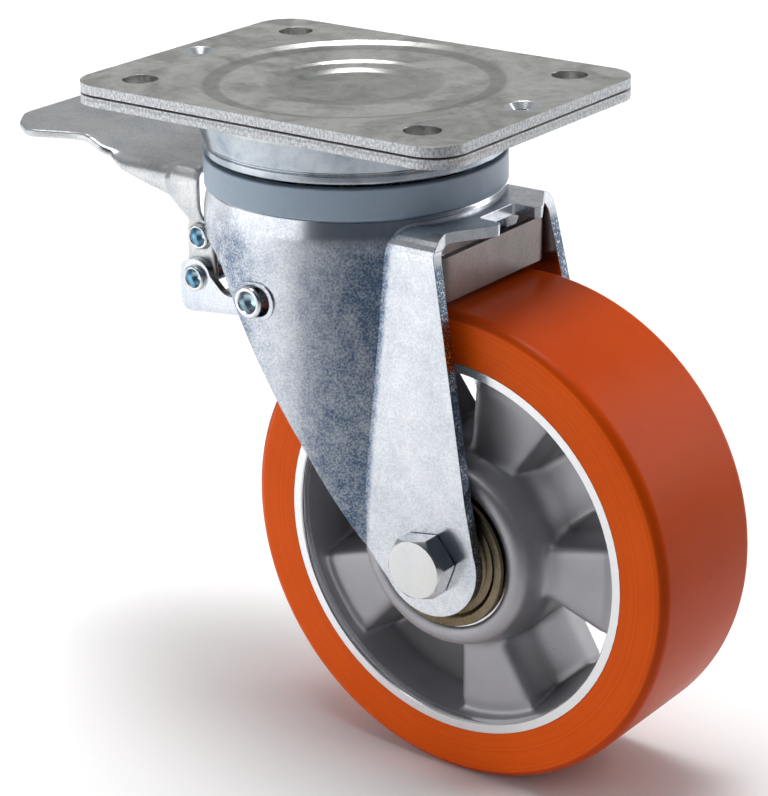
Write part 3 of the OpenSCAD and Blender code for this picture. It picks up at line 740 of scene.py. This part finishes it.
class CASTOR_OT_stage(bpy.types.Operator):
    """Set up the floor, the soft light and the camera"""

    bl_idname = "castor.stage"
    bl_label = "Studio"
    bl_options = {"REGISTER", "UNDO"}

    def floor(self, studio):
        bpy.ops.object.select_all(action="DESELECT")
        bpy.ops.mesh.primitive_plane_add(size=30.0, location=(0, 0, FLOOR_Z))
        ground = bpy.context.object
        ground.name = "floor"
        finish = Finish("floor_paint")
        shade = finish.noise(3.0, 2.0)
        colour = finish.mix(shade, rgb(studio.floor), tuple(0.985 * c for c in studio.floor))
        finish.set(Base_Color=colour, Roughness=0.9, Specular_IOR_Level=0.1)
        ground.data.materials.append(finish.material)

    def light(self, studio):
        away = Vector((-math.sin(studio.azimuth), math.cos(studio.azimuth), 0.0))
        right = Vector((math.cos(studio.azimuth), math.sin(studio.azimuth), 0.0))
        world = bpy.data.worlds.new("studio")
        world.use_nodes = True
        tree = world.node_tree
        place = tree.nodes.new("ShaderNodeTexCoord")
        facing = tree.nodes.new("ShaderNodeVectorMath")
        facing.operation = "DOT_PRODUCT"
        facing.inputs[1].default_value = away * 0.45 + Vector((0.0, 0.0, 0.25))
        centred = tree.nodes.new("ShaderNodeMath")
        centred.inputs[1].default_value = 0.5
        ramp = tree.nodes.new("ShaderNodeValToRGB")
        for element, at, shade in zip(ramp.color_ramp.elements, (0.35, 0.85), (studio.front, studio.back)):
            element.position = at
            element.color = (*shade, 1.0)
        tree.links.new(place.outputs["Generated"], facing.inputs[0])
        tree.links.new(facing.outputs["Value"], centred.inputs[0])
        tree.links.new(centred.outputs[0], ramp.inputs[0])
        tree.links.new(ramp.outputs[0], tree.nodes["Background"].inputs["Color"])
        bpy.context.scene.world = world
        middle = Vector((0.02, 0.0, -0.1))
        turn = Matrix.Rotation(studio.azimuth + math.radians(22.0), 3, "Z")
        over = turn @ Vector((0.0, 2.5, 0.0)) - away * 0.17 + Vector((0.0, 0.0, FLOOR_Z + 0.9))
        ceiling = add_light("ceiling_box", (5.0, 5.0), studio.ceiling, over, over - Vector((0.0, 0.0, 1.0)))
        ceiling.data.spread = math.radians(46.0)
        ceiling.rotation_euler = turn.to_euler()
        left = middle - right * 0.95 - away * 0.3 + Vector((0.0, 0.0, 0.24))
        add_light("left_box", (1.3, 0.6), studio.left, left, middle)
        side = middle + right * 1.0 + away * 0.3 + Vector((0.0, 0.0, 0.4))
        add_light("right_box", (0.4, 0.8), studio.right, side, middle)

    def camera(self, studio):
        az, el = studio.azimuth, studio.elevation
        back = Vector((math.sin(az) * math.cos(el), -math.cos(az) * math.cos(el), math.sin(el)))
        right = Vector((math.cos(az), math.sin(az), 0.0))
        up = back.cross(right)
        eye = right * studio.aside + Vector((0.0, 0.0, studio.height)) + back * studio.distance
        cos_roll, sin_roll = math.cos(studio.roll), math.sin(studio.roll)
        axes = (right * cos_roll + up * sin_roll, up * cos_roll - right * sin_roll, back)
        turn = Matrix(axes).transposed().to_4x4()
        lens = bpy.data.cameras.new("photo_camera")
        long_side = max(PHOTO_W, PHOTO_H)
        lens.lens = studio.focal_px * lens.sensor_width / long_side
        lens.shift_x = (PHOTO_W / 2 - studio.centre_px[0]) / long_side
        lens.shift_y = (studio.centre_px[1] - PHOTO_H / 2) / long_side
        viewer = bpy.data.objects.new("photo_camera", lens)
        viewer.matrix_world = Matrix.Translation(eye) @ turn
        bpy.context.scene.collection.objects.link(viewer)
        bpy.context.scene.camera = viewer

    def execute(self, context):
        studio = context.scene.castor_studio
        self.floor(studio)
        self.light(studio)
        self.camera(studio)
        context.scene.view_settings.view_transform = "Standard"
        return {"FINISHED"}


STEPS = (
    CASTOR_OT_plates,
    CASTOR_OT_head,
    CASTOR_OT_fork,
    CASTOR_OT_rivets,
    CASTOR_OT_axle,
    CASTOR_OT_wheel,
    CASTOR_OT_stage,
)


class CASTOR_PT_sidebar(bpy.types.Panel):
    """The castor's steps and settings"""

    bl_idname = "CASTOR_PT_sidebar"
    bl_label = "Castor"
    bl_space_type = "VIEW_3D"
    bl_region_type = "UI"
    bl_category = "Castor"

    def draw(self, context):
        for step in STEPS:
            self.layout.operator(step.bl_idname)
        for group in (context.scene.castor_finishes, context.scene.castor_studio):
            for key in group.bl_rna.properties.keys():
                if key not in {"rna_type", "name"}:
                    self.layout.prop(group, key)


CLASSES = (CastorFinishes, CastorStudio, *STEPS, CASTOR_PT_sidebar)


def register():
    for made in CLASSES:
        bpy.utils.register_class(made)
    bpy.types.Scene.castor_finishes = PointerProperty(type=CastorFinishes)
    bpy.types.Scene.castor_studio = PointerProperty(type=CastorStudio)


def unregister():
    del bpy.types.Scene.castor_studio
    del bpy.types.Scene.castor_finishes
    for made in reversed(CLASSES):
        bpy.utils.unregister_class(made)


def main():
    register()
    for step in STEPS:
        group, name = step.bl_idname.split(".")
        getattr(getattr(bpy.ops, group), name)()


if __name__ == "__main__":
    main()
